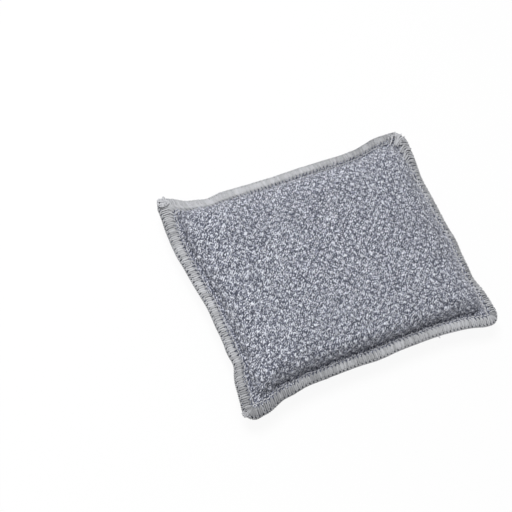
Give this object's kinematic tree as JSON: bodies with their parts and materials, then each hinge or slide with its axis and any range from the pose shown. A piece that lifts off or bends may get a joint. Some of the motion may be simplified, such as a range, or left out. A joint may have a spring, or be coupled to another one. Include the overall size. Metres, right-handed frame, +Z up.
{
  "type": "microfibre scouring sponge",
  "caption": "Padded rectangular scouring sponge: foam between two knotted microfibre cloths, closed all round by a flat overlock seam with ears at its corners.",
  "frame": {"origin": "on the table, under the middle of the seam's outline", "axes": "+X along the long sides, +Y towards the far long side, +Z up through the sponge"},
  "size_m": [0.142, 0.113, 0.0235],
  "materials": {
    "polyurethane_foam": "open-cell foam, off-white",
    "knotted_cloth": "knotted microfibre, grey with a blue cast and pale nubs",
    "overlock_thread": "textured polyester thread, pale grey, soft sheen"
  },
  "bodies": {
    "root": {"foam_core": "polyurethane_foam", "upper_cloth": "knotted_cloth", "lower_cloth": "knotted_cloth", "upper_looper_thread": "overlock_thread", "lower_looper_thread": "overlock_thread", "needle_thread": "overlock_thread"}
  },
  "joints": []
}
